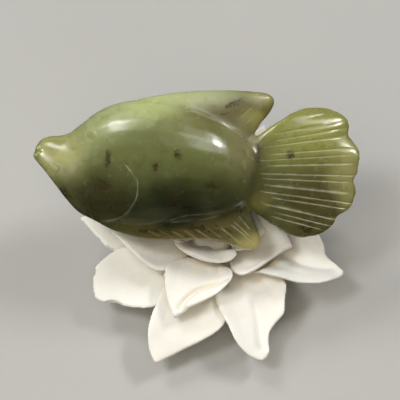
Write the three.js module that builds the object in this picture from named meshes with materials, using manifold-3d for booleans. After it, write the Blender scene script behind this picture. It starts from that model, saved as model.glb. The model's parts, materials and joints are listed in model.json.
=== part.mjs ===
// A carved jade fish lying on a white bisque flower stand.
// Millimetres, +Z up. The origin is the centre of the stand's flat foot, on the surface it rests on.
// +X runs along the fish from mouth to tail, and -Y is the side the fish's near flank leans towards.
//
// The fish is one stone, so it is one solid: a full body with tail, dorsal and ventral fins.
// The stand is built as a potter builds it: a foot disc, a receptacle, and separate petals that are
// pressed on in three rings.
import * as THREE from "three";
import { LoftGeometry } from "three/addons/geometries/LoftGeometry.js";
import { mergeVertices } from "three/addons/utils/BufferGeometryUtils.js";
import Module from "manifold-3d";

const wasm = await Module();
wasm.setup();

// ---- Driving dimensions -------------------------------------------------------------------------

const FISH_CENTRE = new THREE.Vector3(-3.2, 7.5, 26.4); // middle of the fish above the foot
const FISH_LEAN = THREE.MathUtils.degToRad(28); // the flank's tilt from level, belly side down
const FIN_ROUNDNESS = 0.55; // exponent of a fin's edge: 1 is a sharp lens, 0 is a square slab
const FOOT_RADIUS = 9.5;
const FOOT_HEIGHT = 2.2;
const CORE_RADIUS = 4.2;
const CORE_TOP = 11.5;
const GAP = 0.3; // clearance between pressed-on pieces
const PETAL_THICK_ROOT = 1.0; // half thicknesses
const PETAL_THICK_TIP = 0.62;
const PETAL_WIDTH = 12.5; // most petals' spread beyond their neck
const PETAL_NECK = 1.3; // half width of a petal where it is pressed on
const PETAL_CURL = 3; // exponent of a petal's hollow: 2 is an even arc, higher curls at the edges
const PETAL_END = 0.9; // share of a petal's length at which its tip starts to round off
const PETAL_END_NARROWING = 0.8; // 1 would close the rounded tip to nothing
const PETAL_CROWDING = 1.5; // above 1 the stations lie closer together towards the tip
const PETAL_STATIONS = 15;
const PETAL_AROUND = 14;

// ---- Shared helpers -----------------------------------------------------------------------------

const smooth = THREE.MathUtils.smoothstep;
const lerp = THREE.MathUtils.lerp;
const radians = THREE.MathUtils.degToRad;
const signedPower = (value, power) => Math.sign(value) * Math.abs(value) ** power;
const heading = (degrees) => new THREE.Vector2(Math.cos(radians(degrees)), Math.sin(radians(degrees)));

// A closed loft: section(k, angle) is a point of the ring at share k of the length. The angle grows
// anticlockwise when seen from the loft's end, so that the faces point out.
function loft(stations, around, section) {
  const rings = [];
  for (let i = 0; i <= stations; i++) {
    const ring = [];
    for (let j = 0; j < around; j++) ring.push(section(i / stations, (2 * Math.PI * j) / around));
    rings.push(ring);
  }
  return new LoftGeometry(rings, { capStart: true, capEnd: true });
}

// A three.js geometry as a manifold-3d solid whose faces point out.
function solid(geometry) {
  const bare = new THREE.BufferGeometry();
  bare.setAttribute("position", geometry.getAttribute("position"));
  bare.setIndex(geometry.index);
  const merged = mergeVertices(bare, 1e-4);
  return new wasm.Manifold(
    new wasm.Mesh({
      numProp: 3,
      vertProperties: merged.attributes.position.array,
      triVerts: new Uint32Array(merged.index.array),
    }),
  );
}

// A manifold-3d solid as a three.js geometry.
function geometryOf(made) {
  const mesh = made.getMesh();
  const geometry = new THREE.BufferGeometry();
  geometry.setAttribute("position", new THREE.BufferAttribute(mesh.vertProperties, 3));
  geometry.setIndex(new THREE.BufferAttribute(mesh.triVerts, 1));
  geometry.computeVertexNormals();
  return geometry;
}

// The largest piece of a solid, dropping slivers that a cut leaves behind.
function largest(made) {
  return made.decompose().reduce((a, b) => (a.volume() > b.volume() ? a : b));
}

// A line through points at any share from 0 to 1.
function line(...points) {
  const curve = new THREE.CatmullRomCurve3(
    points.map(([x, y, z = 0]) => new THREE.Vector3(x, y, z)),
    false,
    "centripetal",
  );
  return (share) => curve.getPoint(share);
}

// ---- Fish ---------------------------------------------------------------------------------------
// The fish is drawn flat: x from mouth (-) to tail (+), y from belly (-) to back (+), z out of its
// near flank. Both flanks are alike.

// Stations along the body: position, back line, belly line, half thickness.
const BODY_STATIONS = [
  [-32.5, 2.6, 1.4, 0.5],
  [-32.0, 4.2, 0.6, 1.7],
  [-30.6, 5.5, -1.0, 2.7],
  [-28.4, 5.9, -3.9, 3.6],
  [-26.0, 6.2, -7.0, 4.5],
  [-23.6, 7.9, -9.5, 5.4],
  [-20.4, 10.4, -11.0, 6.5],
  [-16.4, 12.3, -11.8, 7.5],
  [-11.0, 13.1, -12.1, 8.3],
  [-5.0, 12.7, -12.1, 8.7],
  [0.5, 11.0, -11.8, 8.5],
  [5.0, 8.8, -10.9, 7.6],
  [8.4, 6.4, -9.2, 6.0],
  [10.8, 4.0, -6.4, 4.0],
  [12.0, 1.9, -3.6, 2.3],
  [12.4, 0.3, -1.7, 0.7],
];

function bodyGeometry() {
  const rows = BODY_STATIONS;
  const profile = (b, c) => {
    const points = rows.map((row) => new THREE.Vector3(row[0], row[b], row[c]));
    return new THREE.CatmullRomCurve3(points, false, "catmullrom");
  };
  const outline = profile(1, 2);
  const girth = profile(3, 3);
  const fullness = 0.94; // just under 1: a little squarer than an ellipse
  return loft(44, 28, (k, angle) => {
    const { x, y: back, z: belly } = outline.getPoint(k);
    const rise = signedPower(Math.cos(angle), fullness);
    const side = signedPower(Math.sin(angle), fullness);
    return new THREE.Vector3(x, (back + belly) / 2 + ((back - belly) / 2) * rise, girth.getPoint(k).y * side);
  });
}

// A fin is a thin lens spread between a root line inside the body and an outer edge.
// place(k, s) is its flat outline and half(k, s) its half thickness.
function finGeometry(stations, around, place, half) {
  return loft(stations, around, (k, angle) => {
    const s = (1 - Math.cos(angle)) / 2;
    const { x, y } = place(k, s);
    return new THREE.Vector3(x, y, half(k, s) * signedPower(Math.sin(angle), FIN_ROUNDNESS));
  });
}

// Thickness fades to a rounded rim where a fin's first and last stations meet the air.
const rimFade = (k) => Math.max(1 - (2 * k - 1) ** 2, 0.03) ** 0.35;

// Tail: a fan whose rays leave the body almost level and spread, with a scalloped trailing edge.
const TAIL_ROOT = 7.6;
const TAIL_NOTCH_WIDTH = 0.06;
const TAIL_NOTCHES = [
  [0.53, 1.4],
  [-0.17, 1.5],
  [-0.7, 1.1],
];

// Half the fan's height and the height of its middle ray, at x.
const tailOpening = (x) => THREE.MathUtils.clamp((x - 9) / 14, 0, 1);
const tailSpread = (x) => lerp(5.2, 13.2, Math.sin((Math.PI / 2) * tailOpening(x)));
const tailMiddle = (x) => lerp(-2.0, -0.8, smooth(x, 16, 29));

// Where the ray's outer end is, from -1 on the lowest ray to 1 on the highest.
function tailRim(ray) {
  const arc = 22.8 + 9.8 * Math.max(1 - ray * ray, 0) ** 0.4;
  const shortBottom = 1.3 * smooth(-ray, 0.6, 0.75);
  const cut = ([at, depth]) => depth * Math.exp(-Math.abs(ray - at) / TAIL_NOTCH_WIDTH);
  return TAIL_NOTCHES.reduce((rim, notch) => rim - cut(notch), arc - shortBottom);
}

function tailGeometry() {
  return finGeometry(
    40,
    22,
    (k, s) => {
      const ray = lerp(2 * k - 1, -Math.cos(Math.PI * k), 0.5);
      const x = lerp(TAIL_ROOT, tailRim(ray), s);
      return { x, y: tailMiddle(x) + tailSpread(x) * ray };
    },
    (k, s) => lerp(3.3, 1.1, s ** 0.8) * rimFade(k),
  );
}

// Dorsal fin, from the notch above the tail forward to the nape.
function dorsalGeometry() {
  const root = line([9.4, 4.8], [2, 7.6], [-6, 9.8], [-14, 9.5]);
  const edge = line(
    [12.0, 6.9],
    [12.9, 8.5],
    [14.7, 10.6],
    [15.7, 13.0],
    [14.8, 14.2],
    [11.5, 14.8],
    [6, 15.1],
    [0, 14.95],
    [-6, 14.3],
    [-11.5, 13.3],
    [-16, 12.0],
  );
  return finGeometry(
    30,
    16,
    (k, s) => root(k).lerp(edge(k), s),
    (k, s) => lerp(lerp(3.0, 4.6, smooth(k, 0.4, 0.9)), lerp(1.5, 2.2, k), s) * rimFade(k),
  );
}

// Ventral fins, in one strip from the throat back to the notch below the tail.
function ventralGeometry() {
  const root = line([-19, -9.4], [-9, -9.6], [1, -9.2], [8.0, -6.8]);
  const edge = line(
    [-21.5, -10.6],
    [-16.5, -13.2],
    [-11.5, -14.7],
    [-5, -15.1],
    [1.3, -14.95],
    [5.2, -15.5],
    [8.8, -16.8],
    [11.6, -17.0],
    [12.8, -15.4],
    [12.3, -13.2],
    [11.0, -9.8],
  );
  return finGeometry(
    32,
    16,
    (k, s) => root(k).lerp(edge(k), s),
    (k, s) => lerp(lerp(3.8, 3.0, smooth(k, 0.1, 0.5)), 1.35, s ** 0.8) * rimFade(k),
  );
}

// All of the fish in one solid, in its own flat frame.
function fishSolid() {
  return solid(bodyGeometry())
    .add(solid(tailGeometry()))
    .add(solid(dorsalGeometry()))
    .add(solid(ventralGeometry()));
}

// ---- Flower stand -------------------------------------------------------------------------------

// One petal, pressed on at `root` and spread to `tip`, both [distance out, height]. `turn` is the way
// it points and `slope` its rise at the root and at the tip. `width` is what it measures from above,
// and `cup` is how steeply its clockwise and anticlockwise edges turn up. `roll` tips it about its
// midrib, and `sway` swings its tip sideways. `belly` is the share of its length where it is widest,
// and `point` is its half width at the tip. Angles are in degrees.
function petalGeometry(spec, grow = 0) {
  const { root, tip, slope, width = PETAL_WIDTH, cup, roll, sway = 0, belly = 0.5, point = 0.5 } = spec;
  const [leave, arrive] = slope;
  const reach = Math.hypot(tip[0] - root[0], tip[1] - root[1]);
  const midrib = new THREE.CubicBezierCurve(
    new THREE.Vector2(...root),
    heading(leave).multiplyScalar(reach * 0.42).add(new THREE.Vector2(...root)),
    heading(arrive).multiplyScalar(-reach * 0.38).add(new THREE.Vector2(...tip)),
    new THREE.Vector2(...tip),
  );
  const swell = Math.log(0.5) / Math.log(belly);
  return loft(PETAL_STATIONS, PETAL_AROUND, (share, angle) => {
    const k = 1 - (1 - share) ** PETAL_CROWDING;
    const centre = midrib.getPoint(k);
    const along = midrib.getTangent(k);
    const spread = Math.sin(Math.PI * k ** swell) ** lerp(0.75, 1.15, k);
    const end = Math.max(0, (k - PETAL_END) / (1 - PETAL_END));
    const rounding = Math.sqrt(1 - PETAL_END_NARROWING * end ** 2);
    const half = ((width / 2) * spread + lerp(PETAL_NECK, point, k)) * rounding + grow;
    const side = Math.cos(angle); // -1 and 1 are the two edges
    const fade = Math.sin(Math.PI * Math.min(k ** 0.8, 0.9)) ** 0.6;
    const steepest = Math.tan(radians(cup[side < 0 ? 0 : 1]) * fade);
    const tilt = steepest * Math.sign(side) * Math.abs(side) ** (PETAL_CURL - 1);
    const offset = (lerp(PETAL_THICK_ROOT, PETAL_THICK_TIP, k) + grow) * signedPower(Math.sin(angle), 0.6);
    const rise = ((half * steepest) / PETAL_CURL) * Math.abs(side) ** PETAL_CURL;
    const across = half * side - (offset * tilt) / Math.hypot(1, tilt);
    const lift = rise + offset / Math.hypot(1, tilt) + across * Math.tan(radians(roll)) * k;
    return new THREE.Vector3(
      centre.x - along.y * lift,
      across + sway * smooth(k, 0.5, 1),
      centre.y + along.x * lift,
    );
  });
}

const OUTER_PETALS = {
  left_rear: { turn: 172, tip: [28.2, 8.5], slope: [18, -2], cup: [24, 30], sway: -1.2 },
  left: { turn: 210, tip: [27.2, 7], slope: [24, -10], width: 10.3, cup: [34, 24], sway: -2.3, point: 3.2 },
  front_left: { turn: 255, tip: [28.3, 5.4], slope: [26, -14], cup: [30, 34], sway: -4.2, point: 1.1 },
  front_right: { turn: 301, tip: [27.2, 5.4], slope: [28, -14], cup: [30, 52], sway: -4.6, point: 1.2 },
  right: { turn: 351, tip: [27.9, 8.6], slope: [26, 4], width: 16, cup: [60, 30], sway: -3.4, point: 1.2 },
  right_rear: { turn: 31, tip: [26.5, 10.5], slope: [28, 2], cup: [36, 34], sway: -2 },
  rear: { turn: 68, tip: [26, 16.5], slope: [30, 24], cup: [36, 30], sway: -1.5 },
  rear_left: { turn: 122, tip: [26, 13], slope: [34, 6], cup: [36, 34], sway: -2.5 },
};

const MIDDLE_PETALS = {
  left: { turn: 193, tip: [21, 14], slope: [26, 8], width: 11.5, cup: [40, 34], sway: -4.2 },
  front: { turn: 254, tip: [20, 10.6], slope: [34, -14], width: 12, cup: [36, 60], sway: -2.2, belly: 0.42 },
  right: { turn: 333, tip: [16.2, 12.8], slope: [34, 10], width: 12, cup: [40, 68], sway: 4.2 },
  right_rear: { turn: 45, tip: [18, 16.5], slope: [44, 22], cup: [34, 34], sway: -2 },
  rear_left: { turn: 118, tip: [18, 18.7], slope: [46, 26], cup: [34, 34], sway: -2 },
};

const INNER_PETALS = {
  front: { turn: 253, tip: [7.5, 13.8], slope: [30, 16], width: 7.6, cup: [30, 58], belly: 0.6, point: 3.8 },
  right: { turn: 350, tip: [10.6, 16.4], slope: [44, 30], width: 8, cup: [44, 44] },
  rear: { turn: 82, tip: [9.8, 17.7], slope: [52, 40], width: 8, cup: [44, 44] },
  left: { turn: 172, tip: [10.6, 16.2], slope: [44, 30], width: 8, cup: [44, 44] },
};

// Each ring's petals go round anticlockwise, and each next root sits `step` higher on the receptacle.
const PETAL_RINGS = [
  { ring: "outer_petal", root: [4.8, 3.4], step: 0.4, roll: -9, petals: OUTER_PETALS },
  { ring: "middle_petal", root: [4.8, 7.6], step: 0.2, roll: -6, petals: MIDDLE_PETALS },
  { ring: "inner_petal", root: [4.0, 11.2], step: 0, roll: -4, petals: INNER_PETALS },
];

// Every petal's spec, lowest first.
const PETALS = PETAL_RINGS.flatMap(({ ring, root, step, roll, petals }) =>
  Object.entries(petals).map(([place, petal], i) => {
    return { ...petal, name: `${ring}_${place}`, root: [root[0], root[1] + step * i], roll };
  }),
);

// A profile turned about the vertical axis.
function turned(profile, around) {
  return new THREE.LatheGeometry(profile.getPoints(5), around).rotateX(Math.PI / 2);
}

// Foot: a turned disc with a flat underside.
function footGeometry() {
  const profile = new THREE.Path();
  profile.moveTo(0, 0);
  profile.lineTo(FOOT_RADIUS - 0.6, 0);
  profile.quadraticCurveTo(FOOT_RADIUS, 0, FOOT_RADIUS, 0.6);
  profile.quadraticCurveTo(FOOT_RADIUS, FOOT_HEIGHT - 0.2, FOOT_RADIUS - 1.4, FOOT_HEIGHT);
  profile.lineTo(0, FOOT_HEIGHT);
  return turned(profile, 40);
}

// Receptacle: the domed post that the petals' roots are pressed against.
function receptacleGeometry() {
  const low = FOOT_HEIGHT + GAP;
  const profile = new THREE.Path();
  profile.moveTo(0, low);
  profile.lineTo(CORE_RADIUS, low);
  profile.lineTo(CORE_RADIUS * 0.95, CORE_TOP - 3);
  profile.bezierCurveTo(CORE_RADIUS * 0.9, CORE_TOP - 0.8, CORE_RADIUS * 0.5, CORE_TOP, 0, CORE_TOP);
  return turned(profile, 28);
}

// ---- Assembly -----------------------------------------------------------------------------------

const BISQUE = new THREE.MeshStandardMaterial({ color: 0xf1eee4, roughness: 0.85, metalness: 0 });
const JADE = new THREE.MeshStandardMaterial({ color: 0x6f7442, roughness: 0.22, metalness: 0 });

function named(name, geometry, material) {
  const mesh = new THREE.Mesh(geometry, material);
  mesh.name = name;
  return mesh;
}

function spun(geometry, degrees) {
  return geometry.rotateZ(radians(degrees));
}

// Petals are pressed on in order, so each one is trimmed where an earlier piece already is.
function stand() {
  const group = new THREE.Group();
  const foot = footGeometry();
  const receptacle = receptacleGeometry();
  group.add(named("foot", foot, BISQUE), named("receptacle", receptacle, BISQUE));
  let taken = solid(foot).add(solid(receptacle));
  for (const spec of PETALS) {
    const petal = largest(solid(spun(petalGeometry(spec), spec.turn)).subtract(taken));
    taken = taken.add(solid(spun(petalGeometry(spec, GAP), spec.turn)));
    group.add(named(spec.name, geometryOf(petal), BISQUE));
  }
  return group;
}

function fish() {
  const mesh = named("jade_fish", geometryOf(fishSolid()), JADE);
  mesh.position.copy(FISH_CENTRE);
  mesh.rotation.x = FISH_LEAN;
  return mesh;
}

const figurine = new THREE.Group();
figurine.add(stand(), fish());

export default figurine;
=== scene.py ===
# Looks for a carved jade fish that lies on a bisque flower stand.
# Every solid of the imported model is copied, remeshed finely and worked over in millimetres; the copy
# then stands for that solid. The fish is carved in its own flat frame: u from mouth to tail, v from
# belly to back and w out of its near flank, in millimetres.
import json
import math

import bmesh
import bpy
import numpy as np
from mathutils import Matrix, Quaternion, Vector, noise


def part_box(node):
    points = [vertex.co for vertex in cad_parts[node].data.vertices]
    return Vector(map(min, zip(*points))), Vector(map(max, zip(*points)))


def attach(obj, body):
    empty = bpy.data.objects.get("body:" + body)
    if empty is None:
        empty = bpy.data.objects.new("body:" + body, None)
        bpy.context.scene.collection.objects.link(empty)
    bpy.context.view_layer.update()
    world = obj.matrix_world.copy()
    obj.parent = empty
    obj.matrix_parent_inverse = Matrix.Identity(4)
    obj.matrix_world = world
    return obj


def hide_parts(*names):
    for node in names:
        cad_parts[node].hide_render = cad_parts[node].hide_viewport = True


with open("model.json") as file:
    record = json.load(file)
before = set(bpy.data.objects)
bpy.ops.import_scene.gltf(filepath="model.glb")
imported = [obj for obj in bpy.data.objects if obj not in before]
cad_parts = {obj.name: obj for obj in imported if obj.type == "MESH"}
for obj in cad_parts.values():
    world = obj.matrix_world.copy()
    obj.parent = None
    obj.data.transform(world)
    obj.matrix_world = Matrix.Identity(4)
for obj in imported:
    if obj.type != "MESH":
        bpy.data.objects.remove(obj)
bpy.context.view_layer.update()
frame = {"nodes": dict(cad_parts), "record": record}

MM = 0.001
JADE_NODE = "jade_fish"
FISH_LEAN = math.radians(28)  # the flank's tilt from level, belly side down

# Voxel sizes in millimetres: a coarse one that closes the roots of the fins, then the fine ones.
ROOT_VOXEL = 0.45
FISH_VOXEL = 0.26
CLAY_VOXEL = 0.25

CAMERA_ELEVATION = math.radians(60)
CAMERA_DISTANCE = 0.250
FIELD_WIDTH = 0.080  # what the picture spans at the fish
CAMERA_BACK = Vector((0, -math.cos(CAMERA_ELEVATION), math.sin(CAMERA_ELEVATION)))
CAMERA_UP = Vector((0, math.sin(CAMERA_ELEVATION), math.cos(CAMERA_ELEVATION)))
AIM_RIGHT, AIM_DOWN = 0.6, 6.4  # how far from the fish's middle the camera aims, in millimetres


def camera_target():
    low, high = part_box(JADE_NODE)
    return (low + high) / 2 + Vector((AIM_RIGHT * MM, 0, 0)) - CAMERA_UP * AIM_DOWN * MM


# ---- Mesh tools ---------------------------------------------------------------------------------


def points_of(mesh):
    flat = np.empty(len(mesh.vertices) * 3, np.float32)
    mesh.vertices.foreach_get("co", flat)
    return flat.reshape(-1, 3).astype(float)


def set_points(mesh, points):
    mesh.vertices.foreach_set("co", points.astype(np.float32).ravel())
    mesh.update()


def normals_of(mesh):
    flat = np.empty(len(mesh.vertices) * 3, np.float32)
    mesh.vertex_normals.foreach_get("vector", flat)
    return flat.reshape(-1, 3).astype(float)


def edges_of(mesh):
    flat = np.empty(len(mesh.edges) * 2, np.int32)
    mesh.edges.foreach_get("vertices", flat)
    return flat.reshape(-1, 2)


def store(mesh, name, values):
    """Keeps a number or a vector for every vertex, which a material can read."""
    kind, field = ("FLOAT_VECTOR", "vector") if values.ndim == 2 else ("FLOAT", "value")
    layer = mesh.attributes.new(name, kind, "POINT")
    layer.data.foreach_set(field, values.astype(np.float32).ravel())


def millimetre_copy(node):
    """The node's mesh in millimetres, with its doubled corner vertices merged."""
    mesh = frame["nodes"][node].data.copy()
    mesh.materials.clear()
    mesh.transform(Matrix.Scale(1 / MM, 4))
    welded = bmesh.new()
    welded.from_mesh(mesh)
    bmesh.ops.remove_doubles(welded, verts=welded.verts, dist=0.002)
    welded.to_mesh(mesh)
    welded.free()
    return mesh


def rebuilt(mesh, kind, **settings):
    """The mesh after one modifier, as a new mesh."""
    carrier = bpy.data.objects.new("carrier", mesh)
    bpy.context.scene.collection.objects.link(carrier)
    modifier = carrier.modifiers.new(kind, kind)
    for name, value in settings.items():
        setattr(modifier, name, value)
    depsgraph = bpy.context.evaluated_depsgraph_get()
    made = bpy.data.meshes.new_from_object(carrier.evaluated_get(depsgraph))
    bpy.data.objects.remove(carrier)
    return made


def remeshed(mesh, voxel):
    return rebuilt(mesh, "REMESH", mode="VOXEL", voxel_size=voxel)


def neighbour_mean(points, edges):
    """The mean of each vertex's neighbours."""
    one, other = edges[:, 0], edges[:, 1]
    size = len(points)
    count = np.bincount(edges.ravel(), minlength=size)
    total = [
        np.bincount(one, points[other, k], size) + np.bincount(other, points[one, k], size)
        for k in range(points.shape[1])
    ]
    return np.stack(total, axis=1) / count[:, None]


def smooth(mesh, passes):
    """Evens a mesh out and returns its points.

    This is Taubin smoothing: each pass shrinks the mesh a little and grows it back.
    """
    points, edges = points_of(mesh), edges_of(mesh)
    for _ in range(passes):
        for step in (0.5, -0.52):
            points = points + step * (neighbour_mean(points, edges) - points)
    set_points(mesh, points)
    return points


def fill_hollows(mesh, passes):
    """Fills hollow corners only: a vertex moves where its neighbours' mean lies outside the surface."""
    points, edges = points_of(mesh), edges_of(mesh)
    for _ in range(passes):
        pull = neighbour_mean(points, edges) - points
        outward = np.einsum("ij,ij->i", pull, normals_of(mesh)) > 0
        points = points + 0.5 * outward[:, None] * pull
        set_points(mesh, points)


def ramp(value, low, high):
    """A smooth step from 0 at low to 1 at high."""
    t = np.clip((value - low) / (high - low), 0, 1)
    return t * t * (3 - 2 * t)


def bell(at, centre, reach):
    """A soft bump, 1 at the centre, that falls off within its reach along u and v."""
    u, v = at.T
    return np.exp(-(((u - centre[0]) / reach[0]) ** 2) - ((v - centre[1]) / reach[1]) ** 2)


def curved(*corners, steps=6):
    """A smooth path through the corners, by Catmull-Rom."""
    p = np.array([corners[0], *corners, corners[-1]], float)
    t = np.linspace(0, 1, steps, endpoint=False)[:, None]
    spans = [
        0.5 * (2 * b + (c - a) * t + (2 * a - 5 * b + 4 * c - d) * t**2 + (3 * b - a - 3 * c + d) * t**3)
        for a, b, c, d in zip(p, p[1:], p[2:], p[3:])
    ]
    return np.vstack([*spans, p[-1:]])


def along_path(path, at):
    """For each point: its distance from the path (positive on the path's left) and its share along it."""
    lengths = np.linalg.norm(np.diff(path, axis=0), axis=1)
    starts = np.concatenate(([0], np.cumsum(lengths)[:-1]))
    distance = np.full(len(at), np.inf)
    share = np.zeros(len(at))
    for a, b, start, length in zip(path, path[1:], starts, lengths):
        way = (b - a) / length
        run = np.clip((at - a) @ way, 0, length)
        offset = at - a - run[:, None] * way
        left = np.where(way[0] * offset[:, 1] - way[1] * offset[:, 0] >= 0, 1, -1)
        reach = np.linalg.norm(offset, axis=1)
        closer = reach < np.abs(distance)
        distance = np.where(closer, reach * left, distance)
        share = np.where(closer, (start + run) / lengths.sum(), share)
    return distance, share


def noise_at(points, size, seed):
    """Soft noise from -1 to 1 whose bumps are about size across."""
    shift = Vector((seed * 17.3, seed * 5.9, seed * 11.1))
    return np.array([noise.noise(Vector(p) / size + shift) for p in points])


def finish_piece(name, mesh, body, node, material):
    """Makes the worked mesh a piece that stands for its CAD node."""
    mesh.name = name
    mesh.transform(Matrix.Scale(MM, 4))
    mesh.materials.clear()
    mesh.materials.append(material)
    mesh.shade_smooth()
    piece = bpy.data.objects.new(name, mesh)
    bpy.context.scene.collection.objects.link(piece)
    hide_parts(node)
    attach(piece, body)


# ---- Material tools -----------------------------------------------------------------------------


class Shader:
    """The nodes of a material or a world. A method's result can be an input of the next."""

    def __init__(self, owner):
        self.owner = owner
        owner.use_nodes = True
        self.tree = owner.node_tree
        self.tree.nodes.clear()

    def feed(self, socket, value):
        """Links another node's result to a socket, or sets a plain value there."""
        if isinstance(value, bpy.types.NodeSocket):
            self.tree.links.new(value, socket)
        else:
            socket.default_value = value

    def add(self, kind, inputs, output=0, **settings):
        node = self.tree.nodes.new("ShaderNode" + kind)
        for name, value in settings.items():
            setattr(node, name, value)
        for name, value in inputs.items():
            self.feed(node.inputs[name], value)
        return node.outputs[output]

    def stored(self, name, output="Fac"):
        """What `store` kept for the vertices under this name."""
        return self.add("Attribute", {}, output, attribute_name=name)

    def millimetres(self):
        """The place on the object, in millimetres."""
        place = self.add("TexCoord", {}, "Object")
        return self.add("VectorMath", {0: place, "Scale": 1 / MM}, operation="SCALE")

    def math(self, operation, a, b, clamp=False):
        return self.add("Math", {0: a, 1: b}, operation=operation, use_clamp=clamp)

    def blend(self, share, a, b, mode="MIX"):
        """Colours a and b mixed by share."""
        node = self.tree.nodes.new("ShaderNodeMix")
        node.data_type = "RGBA"
        node.blend_type = mode
        factor, colour_a, colour_b, result = node.inputs[0], node.inputs[6], node.inputs[7], node.outputs[2]
        self.feed(factor, share)
        self.feed(colour_a, rgba(a))
        self.feed(colour_b, rgba(b))
        return result

    def grain(self, place, scale, detail=3.0, rough=0.5, warp=0.0):
        inputs = {"Vector": place, "Scale": scale, "Detail": detail, "Roughness": rough, "Distortion": warp}
        return self.add("TexNoise", inputs)

    def remap(self, value, low, high, to_low=0.0, to_high=1.0):
        inputs = {"Value": value, "From Min": low, "From Max": high, "To Min": to_low, "To Max": to_high}
        return self.add("MapRange", inputs, interpolation_type="SMOOTHSTEP")

    def oval(self, place, centre, reach, turn=0.0):
        """0 at the centre of an oval and 1 on its rim, whatever the depth in the stone."""
        endless = 1e6
        inputs = {
            "Vector": place,
            "Location": (*centre, 0),
            "Rotation": (0, 0, math.radians(turn)),
            "Scale": (*reach, endless),
        }
        inside = self.add("Mapping", inputs, vector_type="TEXTURE")
        return self.add("VectorMath", {0: inside}, "Value", operation="LENGTH")

    def surface(self, shader, kind="OutputMaterial"):
        """Ends the tree with this shader and hands back the material or world."""
        out = self.tree.nodes.new("ShaderNode" + kind)
        self.tree.links.new(shader, out.inputs["Surface"])
        return self.owner


def rgba(colour):
    return (*colour, 1.0) if isinstance(colour, tuple) else colour


# ---- Jade ---------------------------------------------------------------------------------------

# Where the stone changes colour, and where painted light from above and painted shade below lie on it, in
# the flat frame: centre, reach, how soft, how strong, colour.
JADE_BASE = (0.155, 0.170, 0.060)
JADE_ZONES = [
    ((-11, 13.4), (21, 5.2), 0.9, 0.9, (0.53, 0.58, 0.29)),  # pale back: stone colour brightened by painted light from above
    ((-20, 8.5), (8, 5.5), 0.9, 0.55, (0.43, 0.47, 0.25)),  # pale nape: stone colour brightened by painted light from above
    ((-1, 7.5), (9, 5), 0.9, 0.4, (0.30, 0.32, 0.15)),  # paler upper flank: stone colour brightened by painted light from above
    ((-28, 2.5), (6.5, 6.5), 0.8, 0.85, (0.44, 0.435, 0.20)),  # yellow snout
    ((-28.2, 4.4), (2.6, 1.4), 0.8, 0.6, (0.22, 0.22, 0.08)),  # greener bridge of the snout
    ((7, 10.8), (11, 4.4), 0.8, 0.85, (0.150, 0.125, 0.052)),  # brown skin on the dorsal fin
    ((2, 13.4), (7, 2.2), 0.9, 0.5, (0.47, 0.49, 0.33)),  # pale rim of the dorsal fin
    ((12.2, 8.6), (3.6, 2.6), 0.8, 0.7, (0.42, 0.39, 0.12)),  # clear root of the dorsal fin
    ((13.5, 13.6), (3.4, 2.2), 0.8, 0.7, (0.41, 0.375, 0.20)),  # pale tip of the dorsal fin
    ((24, 6.5), (11, 8), 0.8, 0.85, (0.325, 0.33, 0.10)),  # clear upper tail
    ((24, -7), (11, 9), 0.8, 0.85, (0.085, 0.070, 0.023)),  # browner lower tail
    ((30, -2), (3.2, 9), 0.8, 0.6, (0.42, 0.40, 0.18)),  # thin trailing edge
    ((13, 0), (2.2, 6), 0.8, 0.7, (0.080, 0.067, 0.020)),  # stained root of the tail
    ((-3, -9.0), (22, 8.2), 0.9, 0.93, (0.0085, 0.0098, 0.0027)),  # dark belly: stone colour darkened by painted shade below
    ((-21, -6.5), (8, 6.5), 0.8, 0.8, (0.036, 0.032, 0.009)),  # brown cheek and chin
    ((-1, -14.6), (16, 2.6), 0.8, 0.85, (0.170, 0.136, 0.050)),  # brown ventral edge
    ((7.0, -12.0), (4.6, 2.6), 0.8, 0.8, (0.145, 0.118, 0.042)),  # brown root of the ventral fin
    ((11, -16.2), (4.5, 3.0), 0.8, 0.85, (0.52, 0.46, 0.21)),  # pale tip of the ventral fin
    ((9.5, 3.5), (4.6, 5.6), 0.9, 0.7, (0.30, 0.275, 0.155)),  # greyer rear flank
    ((13.2, -7.6), (2.6, 2.4), 0.8, 0.4, (0.27, 0.225, 0.07)),  # amber under the root of the tail
]
# Dark spots in the stone: centre, reach, turn in degrees.
JADE_SPOTS = [
    ((-17.8, 1.2), (0.9, 2.8), -8),
    ((-18.4, -4.3), (2.0, 1.9), 30),
    ((-26.4, -5.6), (1.0, 2.4), 35),
    ((-3.9, 2.0), (1.3, 1.5), 20),
    ((-8.4, -0.4), (1.2, 1.4), 0),
    ((-4.6, -6.2), (1.6, 1.1), 0),
    ((3.2, -4.2), (2.4, 1.3), 0),
    ((12.4, 2.2), (1.1, 3.4), 0),
    ((18.8, 2.0), (1.3, 1.3), 0),
    ((7.6, 12.4), (2.6, 0.9), 18),
    ((8.5, -8.5), (1.4, 1.6), 0),
    ((-10, -13.2), (3.5, 1.0), 0),
    ((1, -12.8), (5.0, 1.2), -8),
    ((22, -12.5), (3.5, 1.6), -20),
]
# Ovals where the polish differs: centre and reach.
DULL_SNOUT = ((-28, 3), (7, 6))
BRIGHT_LIPS = ((-31.9, 2.6), (1.4, 2.2))
DULL_BELLY = ((-3, -10.9), (15, 3.0))

CLOUD = (0.24, 0.27, 0.13)
MOTTLE = (0.55, 0.52, 0.45)
SPOT_STAIN = (0.055, 0.042, 0.014)
SPECK = (0.038, 0.023, 0.006)
CRACK_STAIN_AND_GROOVE_SHADOW = (0.034, 0.020, 0.005)
FLAKE = (0.50, 0.52, 0.36)
POLISHING_DUST_AND_HIGHLIGHT = (0.46, 0.43, 0.23)


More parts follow.
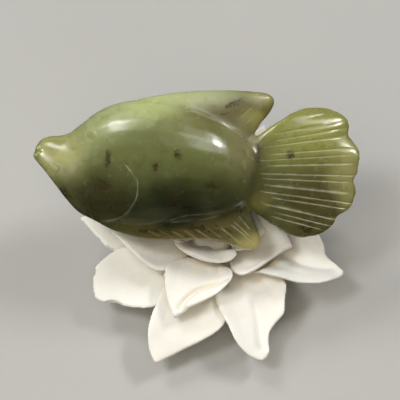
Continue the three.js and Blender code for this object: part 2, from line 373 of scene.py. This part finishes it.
def jade():
    """Translucent stone, polished but for the brown skin, the belly and the dusty grooves."""
    s = Shader(bpy.data.materials.new("jade"))
    flat = s.stored("flat", "Vector")
    cut = s.stored("cut")
    skin = s.stored("skin")
    colour, specks = specked(s, flat, marbled(s, flat, zone_colours(s, flat)))
    polish = s.grain(flat, 0.35, detail=2.0, rough=0.5)
    belly = s.remap(s.oval(flat, *DULL_BELLY), 1.0, 0.4)
    inputs = {
        "Base Color": dusted_and_highlit(s, flat, cut, cracked_and_groove_shaded(s, flat, colour)),
        "Roughness": jade_roughness(s, flat, polish, belly, skin, cut),
        "IOR": 1.61,
        "Specular IOR Level": s.remap(belly, 0.0, 1.0, 0.5, 0.12),
        "Subsurface Weight": s.math("SUBTRACT", 0.9, s.math("MULTIPLY", specks, 0.6)),
        "Subsurface Radius": (1.0, 0.95, 0.4),
        "Subsurface Scale": s.remap(s.stored("thin"), 0.0, 1.0, 0.0016, 0.0026),
        "Subsurface Anisotropy": 0.3,
        "Coat Weight": s.remap(skin, 0.0, 1.0, 0.10, 0.0),
        "Coat Roughness": 0.10,
        "Normal": s.add("Bump", {"Strength": 0.2, "Distance": 0.0001, "Height": polish}),
    }
    return s.surface(s.add("BsdfPrincipled", inputs))


def zone_colours(s, flat):
    """The colour zones, painted light and shade among them, with borders that wander by a millimetre or
    two.
    """
    wander = s.add("TexNoise", {"Vector": flat, "Scale": 0.13, "Detail": 1.5}, "Color")
    wander = s.add("VectorMath", {0: wander, 1: (0.5, 0.5, 0.5)}, operation="SUBTRACT")
    warped = s.add("VectorMath", {0: wander, 1: (5.0, 5.0, 0.0), 2: flat}, operation="MULTIPLY_ADD")
    colour = JADE_BASE
    for centre, reach, softness, strength, tint in JADE_ZONES:
        share = s.remap(s.oval(warped, centre, reach), 1 + softness * 0.5, 1 - softness, 0.0, strength)
        colour = s.blend(share, colour, tint)
    return colour


def marbled(s, flat, colour):
    """The colour with wide pale clouds and a finer, darker mottle."""
    clouds = s.grain(flat, 0.16, detail=1.5, rough=0.4)
    colour = s.blend(s.remap(clouds, 0.40, 0.80, 0.0, 0.16), colour, CLOUD)
    mottle = s.grain(flat, 0.50, detail=3.0, rough=0.5)
    return s.blend(s.remap(mottle, 0.50, 0.25, 0.0, 0.40), colour, MOTTLE, mode="MULTIPLY")


def specked(s, flat, colour):
    """The colour with its spots stained and crowded with brown specks, and the specks themselves."""
    near = 0.0
    for centre, reach, turn in JADE_SPOTS:
        near = s.math("MAXIMUM", s.remap(s.oval(flat, centre, reach, turn), 1.15, 0.2), near)
    colour = s.blend(s.math("MULTIPLY", near, 0.34), colour, SPOT_STAIN)
    crumbs = s.grain(flat, 1.1, detail=4.0, rough=0.6, warp=1.1)
    specks = s.remap(s.math("ADD", crumbs, s.math("MULTIPLY", near, 0.27)), 0.67, 0.80)
    return s.blend(s.math("MULTIPLY", specks, 0.88), colour, SPECK), specks


def cracked_and_groove_shaded(s, flat, colour):
    """The colour with its broken brown cracks and the painted shadows beside the ventral strokes, under
    thin pale flakes.
    """
    broken_up = s.remap(s.grain(flat, 1.8, detail=3.0), 0.36, 0.50, 0.2, 0.8)
    colour = s.blend(s.math("MULTIPLY", s.stored("crack_and_shadow"), broken_up), colour, CRACK_STAIN_AND_GROOVE_SHADOW)
    flakes = s.grain(flat, 2.4, detail=2.0, rough=0.6, warp=0.6)
    return s.blend(s.remap(flakes, 0.60, 0.74, 0.0, 0.10), colour, FLAKE)


def dusted_and_highlit(s, flat, cut, colour):
    """The colour with pale polishing dust left in the grooves, here and there, and a painted highlight
    along the root line of the dorsal fin.
    """
    patches = s.remap(s.grain(flat, 0.5, detail=3.0), 0.35, 0.62, 0.15, 0.65)
    return s.blend(s.math("MULTIPLY", cut, patches, clamp=True), colour, POLISHING_DUST_AND_HIGHLIGHT)


def jade_roughness(s, flat, polish, belly, skin, cut):
    rough = s.remap(polish, 0.3, 0.75, 0.18, 0.30)
    rough = s.math("ADD", rough, s.remap(s.oval(flat, *DULL_SNOUT), 1.0, 0.4, 0.0, 0.05))
    rough = s.math("ADD", rough, s.remap(s.oval(flat, *BRIGHT_LIPS), 1.0, 0.4, 0.0, -0.08))
    rough = s.math("ADD", rough, s.math("MULTIPLY", belly, 0.30))
    rough = s.math("ADD", rough, s.math("MULTIPLY", skin, 0.26))
    return s.math("ADD", rough, s.math("MULTIPLY", cut, 0.45), clamp=True)


# ---- Carving ------------------------------------------------------------------------------------

FLAT_U = np.array([1, 0, 0])
FLAT_V = np.array([0, math.cos(FISH_LEAN), math.sin(FISH_LEAN)])
FLANK_OUT = np.array([0, -math.sin(FISH_LEAN), math.cos(FISH_LEAN)])
FLAT_MIDDLE = 0.95  # v = 0 lies this far above the middle of the fish's box


def flat_frame(points):
    """The fish's points in its flat frame, laid out as they show from the camera's side.

    A point high on the flank shows a little outward of its foot, so u and v are where the line of
    sight meets the fish's middle plane. Both flanks are laid out alike.
    """
    turn = np.array(Matrix.Rotation(-FISH_LEAN, 3, "X"))
    flat = points @ turn.T
    middle = (flat.min(axis=0) + flat.max(axis=0)) / 2 + np.array([0.0, FLAT_MIDDLE, 0.0])
    eye = turn @ np.array(camera_target() + CAMERA_BACK * CAMERA_DISTANCE) / MM - middle
    flat = flat - middle
    nearer = eye[2] / (eye[2] - np.abs(flat[:, 2:]))
    return np.hstack([eye[:2] + (flat[:, :2] - eye[:2]) * nearer, flat[:, 2:]])


class Relief:
    """The height carved at every vertex, and `cut`, where 1 is a groove full of pale dust, or along the
    dorsal root a painted highlight.
    """

    def __init__(self, at):
        self.at = at
        self.height = np.zeros(len(at))
        self.cut = np.zeros(len(at))

    def add(self, height, cut=0.0):
        self.height = self.height + height
        self.cut = np.maximum(self.cut, cut)

    def groove(self, path, width, depth, fade=0.18, lip=0.0, lip_reach=1.6, easing=0.0, pale=1.0):
        """A cut along a path whose ends fade out, with an optional raised lip on the path's left.

        `easing` is the share of the depth that is lost from the path's start to its end.
        """
        distance, share = along_path(path, self.at)
        ends = ramp(share, 0.0, fade) * ramp(share, 1.0, 1.0 - fade) * (1 - easing * ramp(share, 0.1, 0.55))
        cut = np.exp(-((distance / width) ** 2)) * ends
        raised = np.where(distance > 0, np.exp(-distance / lip_reach), 0.0) * ends * (1 - cut)
        self.add(-depth * cut + lip * raised, cut * pale)


TAIL_GROOVES = 14
TAIL_ROOT_U, TAIL_TIP_U = 11.0, 30.0
TAIL_ROOT_V = (5.4, -9.3)  # heights of the first and last groove, at the root and at the tip
TAIL_TIP_V = (9.3, -14.6)
TAIL_GROOVE_WIDTH, TAIL_GROOVE_DEPTH = 0.14, 0.17


def carve_tail(relief):
    """Straight grooves that fan over the tail, cut by hand and so a little uneven, and low pillows."""
    u, v = relief.at.T
    along = (u - TAIL_ROOT_U) / (TAIL_TIP_U - TAIL_ROOT_U)
    top = TAIL_ROOT_V[0] + (TAIL_TIP_V[0] - TAIL_ROOT_V[0]) * along
    bottom = TAIL_ROOT_V[1] + (TAIL_TIP_V[1] - TAIL_ROOT_V[1]) * along
    pitch = (top - bottom) / (TAIL_GROOVES - 1)
    place = (top - v) / pitch
    place = place - 0.16 * np.sin(place * 2.3) - 0.12 * np.sin(1 - place * 2.18) * along
    index = np.clip(np.round(place), 0, TAIL_GROOVES - 1)
    distance = (place - index) * pitch
    outward = index / (TAIL_GROOVES - 1) * 2 - 1
    start = 12.6 + 1.1 * np.sin(index * 2.7) + 2.2 * outward**2
    rim = 31.6 - 1.2 * np.sin(index * 1.9) - 6.0 * outward**4
    crisp = 0.6 + 0.4 * ramp(index, 3, 8)
    reach = ramp(u, start, start + 2.5) * ramp(u, rim, rim - 2.0) * crisp
    cut = np.exp(-((distance / TAIL_GROOVE_WIDTH) ** 2)) * reach
    relief.add(tail_pillows(u, v, place) - TAIL_GROOVE_DEPTH * cut, cut)


def tail_pillows(u, v, place):
    """How far the stone swells between two grooves: most in the middle of the upper lobe."""
    inside = ramp(np.hypot(u - 24.5, (v - 3.5) * 0.9), 7.8, 5.8)
    swell = (0.03 + 0.06 * ramp(v, 4, 8)) * np.abs(np.sin(np.pi * place))
    return swell * ramp(u, 19, 26) * np.maximum(inside, ramp(v, 3, 1))


GILL = curved(
    (-14.6, 0.8), (-12.4, -2.1), (-11.9, -4.4), (-12.4, -7), (-14.4, -10), (-17.3, -11.3), (-19.8, -11)
)
BELLY_CREASE = curved((-17, -11.6), (-11, -11.8), (-8, -11.4), (-5.8, -10.4), (-4.2, -9.8))
PELVIC_LEAF_TOP = curved((-5.9, -11.3), (-2.5, -10.3), (1, -9.9), (4.6, -9.7))
PELVIC_LEAF_BOTTOM = curved((-6.0, -11.6), (-2, -11.3), (2, -10.8), (5.2, -9.9))


def carve_flank(relief):
    """The gill cover, deepest at its top with a raised rear edge, and the leaf of the pelvic fin."""
    relief.groove(GILL, 0.17, 0.32, fade=0.08, lip=0.18, lip_reach=1.0, easing=0.6, pale=0.8)
    relief.groove(BELLY_CREASE, 0.13, 0.13, fade=0.45, pale=0.4)
    relief.groove(PELVIC_LEAF_TOP, 0.13, 0.12, pale=0.6)
    relief.groove(PELVIC_LEAF_BOTTOM, 0.12, 0.12, pale=0.6)


DORSAL_ROOT = curved(
    (9.6, 5.5), (8.2, 6.6), (6.9, 7.3), (4.4, 8.75), (2.2, 9.75), (0.4, 10.5), (-1.5, 11.1)
)
DORSAL_RAYS = [
    curved((6.9, 12.4), (8.6, 13.4), (9.9, 14.1), steps=3),
    curved((7.8, 9.0), (9.8, 10.6), (11.6, 12.4), steps=3),
    curved((9.1, 8.0), (10.2, 8.9), (11.0, 9.9), steps=3),
]
VENTRAL_STROKES = 8
VENTRAL_TIP_STROKES = [
    curved((8.4, -9.9), (9.6, -11.5), (10.8, -13.0), steps=3),
    curved((7.2, -10.8), (8.9, -12.5), (10.9, -14.4), steps=3),
]


def carve_fins(relief):
    """The root line of the dorsal fin, the strokes on the ventral fin and faint dorsal rays."""
    # The pale fill along the dorsal root line is a painted highlight, the bright line that the polish
    # reflects there.
    relief.groove(DORSAL_ROOT, 0.18, 0.20, fade=0.10, lip=0.14, lip_reach=0.4, pale=0.7)
    for i in range(VENTRAL_STROKES):
        share = i / (VENTRAL_STROKES - 1)
        start = np.array((-10 + 16.5 * share, -13.1 + 1.6 * share**2))
        end = start + np.array((2.8 + 2.6 * share, -1.3 - 3.2 * share))
        stroke = curved(start, (start + end) / 2 + (0, 0.12), end, steps=3)
        relief.groove(stroke, 0.12, 0.17, fade=0.22)
    for stroke in VENTRAL_TIP_STROKES:
        relief.groove(stroke, 0.12, 0.16)
    for ray in DORSAL_RAYS:
        relief.groove(ray, 0.22, 0.07, fade=0.4, pale=0.25)


def brown_skin(at):
    """Where the dorsal fin keeps its brown skin: a band that starts just above its root line."""
    above_root = -along_path(DORSAL_ROOT, at)[0]
    u = at[:, 0]
    return ramp(above_root, 0.2, 0.6) * ramp(above_root, 9, 7) * ramp(u, -3, 1) * ramp(u, 13.8, 12.0)


EYE = (-21.2, 6.1)
EYE_RING_RADIUS = 1.15
MOUTH = curved((-34, 2.5), (-32.2, 2.7), (-31.2, 2.8), (-30.8, 2.7), steps=4)
SNOUT_HOLLOW = ((-25.2, 4.6), (2.6, 2.0))  # centre, reach
# Lips on the rim of the snout, the lower one further out: centre, height, how far it juts forward.
LIPS = [((-32.0, 3.6), 0.42, 0.0), ((-32.2, 1.9), 0.50, 0.3)]


def carve_face(relief):
    """A faint ring round the low dome of the eye, the slit of the mouth and the hollow of the snout."""
    from_eye = np.hypot(relief.at[:, 0] - EYE[0], relief.at[:, 1] - EYE[1])
    ring = np.exp(-(((from_eye - EYE_RING_RADIUS) / 0.24) ** 2))
    relief.add(0.02 * np.exp(-((from_eye / 0.9) ** 2)) - 0.030 * ring, 0.20 * ring)
    relief.groove(MOUTH, 0.18, 0.36, fade=0.25, pale=0.1)
    relief.add(-0.25 * bell(relief.at, *SNOUT_HOLLOW))


def raise_lips(mesh, at, w):
    """Swells two small round lips out of the near side of the snout's rim."""
    for centre, height, jut in LIPS:
        dome = bell(at, centre, (0.55, 0.65))
        lift = np.outer(height * dome * ramp(w, 0.2, 1.4), FLANK_OUT) - np.outer(jut * dome, FLAT_U)
        set_points(mesh, points_of(mesh) + lift)


def bend_tail(mesh, at):
    """Sweeps the upper lobe of the tail back towards the far flank, and rounds its outline out."""
    u, v = at.T
    sweep = 0.028 * np.maximum(u - 24.0, 0) ** 2 * ramp(v, 1.5, 6.5)
    sweep = sweep + 0.045 * np.maximum(v - 5.2, 0) ** 2 * ramp(u, 18, 27)
    shoulder = 0.75 * bell(at, (29.4, 9.0), (2.6, 2.4))
    fork = 0.5 * bell(at, (32.0, 2.6), (2.5, 1.8))
    spread = np.outer(shoulder, FLAT_U * 0.88 + FLAT_V * 0.47) + np.outer(fork, FLAT_U)
    set_points(mesh, points_of(mesh) - np.outer(sweep, FLANK_OUT) + spread)


# Brown cracks in the stone: path and width.
CRACKS = [
    (curved((-28.9, 0.7), (-28.1, -0.1), (-27.5, -0.5), (-28.1, -1.8)), 0.16),
    (curved((-27.0, -3.6), (-26.2, -4.9), (-25.6, -5.6), (-24.6, -7.2)), 0.20),
    (curved((-17.7, 3.6), (-18.0, 2.0), (-17.5, 0.9), (-17.8, -0.6)), 0.20),
    (curved((-20.2, -2.2), (-19.2, -3.1), (-18.4, -3.4), (-18.1, -5.0)), 0.18),
    (curved((5.4, 11.6), (7.0, 12.4), (8.2, 12.9), (9.6, 13.6)), 0.16),
    (curved((4.6, 10.4), (5.6, 10.2), (6.8, 10.8)), 0.14),
    (curved((11.6, 4.8), (12.4, 3.4), (12.2, 1.6), (12.9, 0.2)), 0.22),
    (curved((-4.6, 2.4), (-3.6, 1.9), (-3.2, 1.0)), 0.14),
    (curved((-8.9, 0.2), (-8.2, -0.6), (-8.5, -1.4)), 0.14),
]
# Where dark lines start between the pale strokes on the ventral fin: painted shadow, the shaded side of
# each groove.
GROOVE_SHADOW_STARTS = [
    (-7.2, -13.0),
    (-5.0, -12.8),
    (-3.2, -13.3),
    (-1.3, -12.6),
    (0.6, -13.2),
    (2.2, -12.4),
    (3.4, -11.6),
    (5.6, -12.4),
]
GROOVE_SHADOW_WIDTH = 0.13


def cracks_and_groove_shadows(at):
    """How near each point is to a crack or to a painted groove shadow on the ventral fin, as 1 on it and 0
    away from it.
    """
    # Dark lines beside the ventral strokes are painted shadow, the shaded sides of the grooves.
    groove_shadows = [
        (curved((u, v), (u + 0.9, v - 0.7), (u + 1.9, v - 1.3)), GROOVE_SHADOW_WIDTH) for u, v in GROOVE_SHADOW_STARTS
    ]
    places = np.c_[at, np.zeros(len(at))]
    ragged = 0.12 * np.stack([noise_at(places, 0.5, seed) for seed in (5, 6)], axis=1)
    stain = np.zeros(len(at))
    for path, width in CRACKS + groove_shadows:
        distance, share = along_path(path, at + ragged)
        ends = ramp(share, 0.0, 0.25) * ramp(share, 1.0, 0.7)
        stain = np.maximum(stain, np.exp(-((distance / width) ** 2)) * ends)
    return stain


def thinness(at):
    """1 on the tail, the dorsal fin and the ventral edge, where light shows through, and 0 elsewhere."""
    u, v = at.T
    dorsal = ramp(v, 9, 13) * ramp(u, -6, 2)
    return np.maximum(ramp(u, 9, 14), np.maximum(dorsal, ramp(v, -10.5, -13.5)))


def carve(mesh):
    """Carves the fish, with its cuts alike on both flanks, and stores what its material reads."""
    points, normals = points_of(mesh), normals_of(mesh)
    flat = flat_frame(points)
    at, w = flat[:, :2], flat[:, 2]
    relief = Relief(at)
    for carve_part in (carve_tail, carve_flank, carve_fins, carve_face):
        carve_part(relief)
    near_flank = np.abs(normals @ FLANK_OUT)
    set_points(mesh, points + normals * (relief.height * ramp(near_flank, 0.1, 0.7))[:, None])
    raise_lips(mesh, at, w)
    bend_tail(mesh, at)
    store(mesh, "flat", flat)
    store(mesh, "cut", relief.cut * ramp(near_flank, 0.1, 0.45))
    store(mesh, "skin", brown_skin(at))
    store(mesh, "crack_and_shadow", cracks_and_groove_shadows(at))
    store(mesh, "thin", thinness(at))


def jade_carving():
    rough = remeshed(millimetre_copy(JADE_NODE), ROOT_VOXEL)
    smooth(rough, 3)
    fill_hollows(rough, 16)
    fine = remeshed(rough, FISH_VOXEL)
    smooth(fine, 6)
    fine = rebuilt(fine, "SUBSURF", levels=1)
    carve(fine)
    finish_piece("jade_carving", fine, "fish", JADE_NODE, jade())


# ---- Bisque -------------------------------------------------------------------------------------


def bisque():
    """Unglazed white clay, with painted shade, a warm tan, where the petals crowd together."""
    s = Shader(bpy.data.materials.new("bisque"))
    place = s.millimetres()
    tone = s.grain(place, 0.09, detail=4.0, rough=0.55)
    colour = s.blend(s.remap(tone, 0.3, 0.7), (0.84, 0.815, 0.755), (0.89, 0.875, 0.83))
    dust = s.grain(place, 2.2, detail=5.0, rough=0.7)
    colour = s.blend(s.remap(dust, 0.62, 0.80, 0.0, 0.25), colour, (0.66, 0.61, 0.51))
    # Painted shade: the clay is tinted tan where ambient occlusion finds the petals close together.
    crowding_shade = s.add("AmbientOcclusion", {"Distance": 0.004}, "AO")
    colour = s.blend(s.remap(crowding_shade, 0.75, 0.15, 0.0, 0.55), colour, (0.68, 0.56, 0.38))
    finger_marks = s.math("MULTIPLY", s.grain(place, 0.55), 1.4)
    grit = s.math("ADD", s.grain(place, 3.2, detail=6.0, rough=0.75), finger_marks)
    inputs = {
        "Base Color": colour,
        "Roughness": s.remap(dust, 0.3, 0.7, 0.55, 0.78),
        "IOR": 1.5,
        "Specular IOR Level": 0.35,
        "Subsurface Weight": 0.25,
        "Subsurface Radius": (1.0, 0.8, 0.55),
        "Subsurface Scale": 0.0008,
        "Normal": s.add("Bump", {"Strength": 0.35, "Distance": 0.00012, "Height": grit}),
    }
    return s.surface(s.add("BsdfPrincipled", inputs))


SMALL_SWELL_SEED = 40  # added to a piece's index, so that its small swells differ from its large ones

# Creases that fold up a petal's edge: path in plan, width, depth, and how far the edge side is raised.
CREASES = {
    "middle_petal_front": (
        curved((4.0, -11.0), (1.0, -11.9), (-2.6, -12.9), (-4.9, -14.6), (-6.3, -16.3), (-6.9, -18.0)),
        (0.5, 1.0, 1.35),
    ),
    "outer_petal_right": (
        curved((26.2, -6.3), (24.0, -6.4), (21.5, -6.2), (18.6, -5.6), (16.2, -4.2), (14.0, -2.4)),
        (1.0, 0.55, 0.75),
    ),
    "outer_petal_front_right": (
        curved((7.6, -12.4), (8.7, -14.6), (9.4, -17.4), (9.9, -21.2), (10.2, -24.6)),
        (1.0, 0.75, 1.0),
    ),
}
# Where a rim is pulled out of its even curve: centre in plan, reach, pull.
PULLS = {
    "outer_petal_front_right": [
        ((13.9, -16.6), 1.8, (0.7, 0.0)),
        ((12.3, -20.6), 2.3, (-0.65, 0.1)),
        ((11.2, -24.2), 1.5, (0.6, 0.0)),
    ],
    "outer_petal_right": [((24.6, -3.4), 2.2, (-1.0, -0.3)), ((16.5, -10.8), 2.4, (0.0, -0.5))],
}
# Bites out of the petals' rims: centre and radius.
CHIPS = {
    "outer_petal_left": [((-20.9, -16.8, 7.5), 3.5)],
    "outer_petal_right": [((22.6, -10.4, 9.6), 0.55)],
}
# Where a petal's rim has broken off: how far out, along which way.
BREAKS = {
    "outer_petal_left": (24.6, math.radians(182)),
    "outer_petal_left_rear": (15.8, math.radians(227)),
}


def creased(points, path, shape):
    """Points of a sheet with a valley bent in along a path, and the side on the path's left folded up."""
    width, depth, fold = shape
    distance, share = along_path(path, points[:, :2])
    ends = ramp(share, 0.0, 0.2) * ramp(share, 1.0, 0.9)
    valley = -depth * np.exp(-((distance / width) ** 2))
    raised = fold * ramp(distance, 0.2, 3 * width)
    return points + np.outer((valley + raised) * ends, (0, 0, 1))


def pulled(points, centre, reach, pull):
    """Points drawn along by a soft pull round a centre in plan."""
    near = np.exp(-(np.linalg.norm(points[:, :2] - centre, axis=1) / reach) ** 2)
    return points + np.outer(near, (*pull, 0.0))


def chipped(points, centre, radius):
    """Points with a round bite taken out."""
    offset = points - np.array(centre)
    reach = np.linalg.norm(offset, axis=1, keepdims=True)
    return np.where(reach < radius, centre + offset / reach * radius, points)


def broken(points, reach, way):
    """Points cut back to a ragged break that faces one way."""
    out = np.array((math.cos(way), math.sin(way), 0.0))
    ragged = 0.7 * noise_at(points, 2.4, 3) + 0.35 * noise_at(points, 0.8, 4)
    beyond = points @ out - reach - ragged
    return points - np.maximum(beyond, 0)[:, None] * out


def pressed_clay(node, index, material):
    """A piece of the flower, with the soft unevenness of clay worked by hand."""
    clay = remeshed(millimetre_copy(node), CLAY_VOXEL)
    points = smooth(clay, 8)
    swell = 0.16 * noise_at(points, 7.0, index) + 0.05 * noise_at(points, 2.2, index + SMALL_SWELL_SEED)
    set_points(clay, points + normals_of(clay) * swell[:, None])
    if node in CREASES:
        set_points(clay, creased(points_of(clay), *CREASES[node]))
    for pull in PULLS.get(node, []):
        set_points(clay, pulled(points_of(clay), *pull))
    for chip in CHIPS.get(node, []):
        set_points(clay, chipped(points_of(clay), *chip))
    if node in BREAKS:
        set_points(clay, broken(points_of(clay), *BREAKS[node]))
    finish_piece(node + "_clay", clay, "flower_stand", node, material)


def flower():
    clay = bisque()
    members = frame["record"]["behaviour"]["bodies"]["flower_stand"]
    for index, node in enumerate(sorted(members)):
        pressed_clay(node, index, clay)


# ---- Stage --------------------------------------------------------------------------------------

FLOOR_HALF = 3.0
NEAR_LIGHT, FAR_LIGHT = 0.75, 0.90  # how far the lights stand from the fish, in metres
ROOM_COLOUR = (0.92, 0.92, 0.90)
ROOM_LIGHT, ROOM_MIRRORED, ROOM_SEEN = 0.06, 0.02, 0.55


def floor():
    s = Shader(bpy.data.materials.new("floor"))
    tone = s.grain(s.add("TexCoord", {}, "Object"), 6.0, detail=2.0)
    colour = s.blend(s.remap(tone, 0.3, 0.7), (0.41, 0.405, 0.395), (0.44, 0.435, 0.425))
    mesh = bpy.data.meshes.new("floor")
    corners = [(x * FLOOR_HALF, y * FLOOR_HALF, 0) for x, y in ((-1, -1), (1, -1), (1, 1), (-1, 1))]
    mesh.from_pydata(corners, [], [(0, 1, 2, 3)])
    mesh.materials.append(s.surface(s.add("BsdfPrincipled", {"Base Color": colour, "Roughness": 0.8})))
    plane = bpy.data.objects.new("floor", mesh)
    plane.visible_glossy = False
    bpy.context.scene.collection.objects.link(plane)


def softbox(name, direction, distance, size, power, colour, mirrored=True, lights=True, spin=0.0):
    """An area light that faces the camera's target from a direction.

    It can be left out of reflections (`mirrored`), or show in reflections only (`lights`).
    """
    light = bpy.data.lights.new(name, "AREA")
    light.shape = "RECTANGLE"
    light.size, light.size_y = size
    light.energy = power
    light.color = colour
    lamp = bpy.data.objects.new(name, light)
    away = Vector(direction).normalized()
    lamp.location = camera_target() + away * distance
    lamp.rotation_mode = "QUATERNION"
    lamp.rotation_quaternion = away.to_track_quat("Z", "Y") @ Quaternion((0, 0, 1), math.radians(spin))
    lamp.visible_glossy = mirrored
    lamp.visible_diffuse = lights
    bpy.context.scene.collection.objects.link(lamp)


def studio():
    """Four softboxes that the polish mirrors, then four that light the piece without showing in it."""
    white = (1.0, 1.0, 0.98)
    softbox("lamp", (0.557, 0.32, 0.766), NEAR_LIGHT, (0.21, 0.09), 2.1, (1.0, 0.99, 0.97), spin=-41)
    softbox("glow", (0.30, 0.20, 0.93), NEAR_LIGHT, (0.28, 0.28), 0.75, white, lights=False)
    softbox("window", (-0.433, 0.47, 0.77), NEAR_LIGHT, (0.18, 0.24), 1.6, white)
    softbox("glint", (-0.94, -0.10, 0.32), NEAR_LIGHT, (0.14, 0.14), 4.6, white, lights=False)
    for name, direction, side, power, colour in (
        ("key", (-0.45, -0.10, 0.89), 0.20, 2.95, (0.95, 0.98, 1.0)),
        ("fill", (-0.12, -0.45, 0.89), 0.60, 3.15, (1.0, 0.89, 0.69)),
        ("side", (-0.85, 0.0, 0.50), 0.50, 1.05, (1.0, 0.97, 0.84)),
        ("top", (0.0, 0.05, 1.0), 0.80, 0.5, (0.6, 0.8, 1.0)),
    ):
        softbox(name, direction, FAR_LIGHT, (side, side), power, colour, mirrored=False)


def surroundings():
    """A pale room that lights only a little and shows only dimly in reflections."""
    s = Shader(bpy.data.worlds.new("studio"))
    mirror_ray = s.add("LightPath", {}, "Is Glossy Ray")
    camera_ray = s.add("LightPath", {}, "Is Camera Ray")
    strength = s.add("MapRange", {"Value": mirror_ray, "To Min": ROOM_LIGHT, "To Max": ROOM_MIRRORED})
    strength = s.add("MapRange", {"Value": camera_ray, "To Min": strength, "To Max": ROOM_SEEN})
    room = s.add("Background", {"Color": rgba(ROOM_COLOUR), "Strength": strength})
    bpy.context.scene.world = s.surface(room, "OutputWorld")


def camera():
    lens = bpy.data.cameras.new("camera")
    lens.lens = lens.sensor_width * CAMERA_DISTANCE / FIELD_WIDTH
    lens.clip_start = 0.01
    view = bpy.data.objects.new("camera", lens)
    view.location = camera_target() + CAMERA_BACK * CAMERA_DISTANCE
    view.rotation_mode = "QUATERNION"
    view.rotation_quaternion = CAMERA_BACK.to_track_quat("Z", "Y")
    bpy.context.scene.collection.objects.link(view)
    bpy.context.scene.camera = view


jade_carving()
flower()
floor()
studio()
surroundings()
camera()
bpy.context.scene.view_settings.view_transform = "Standard"
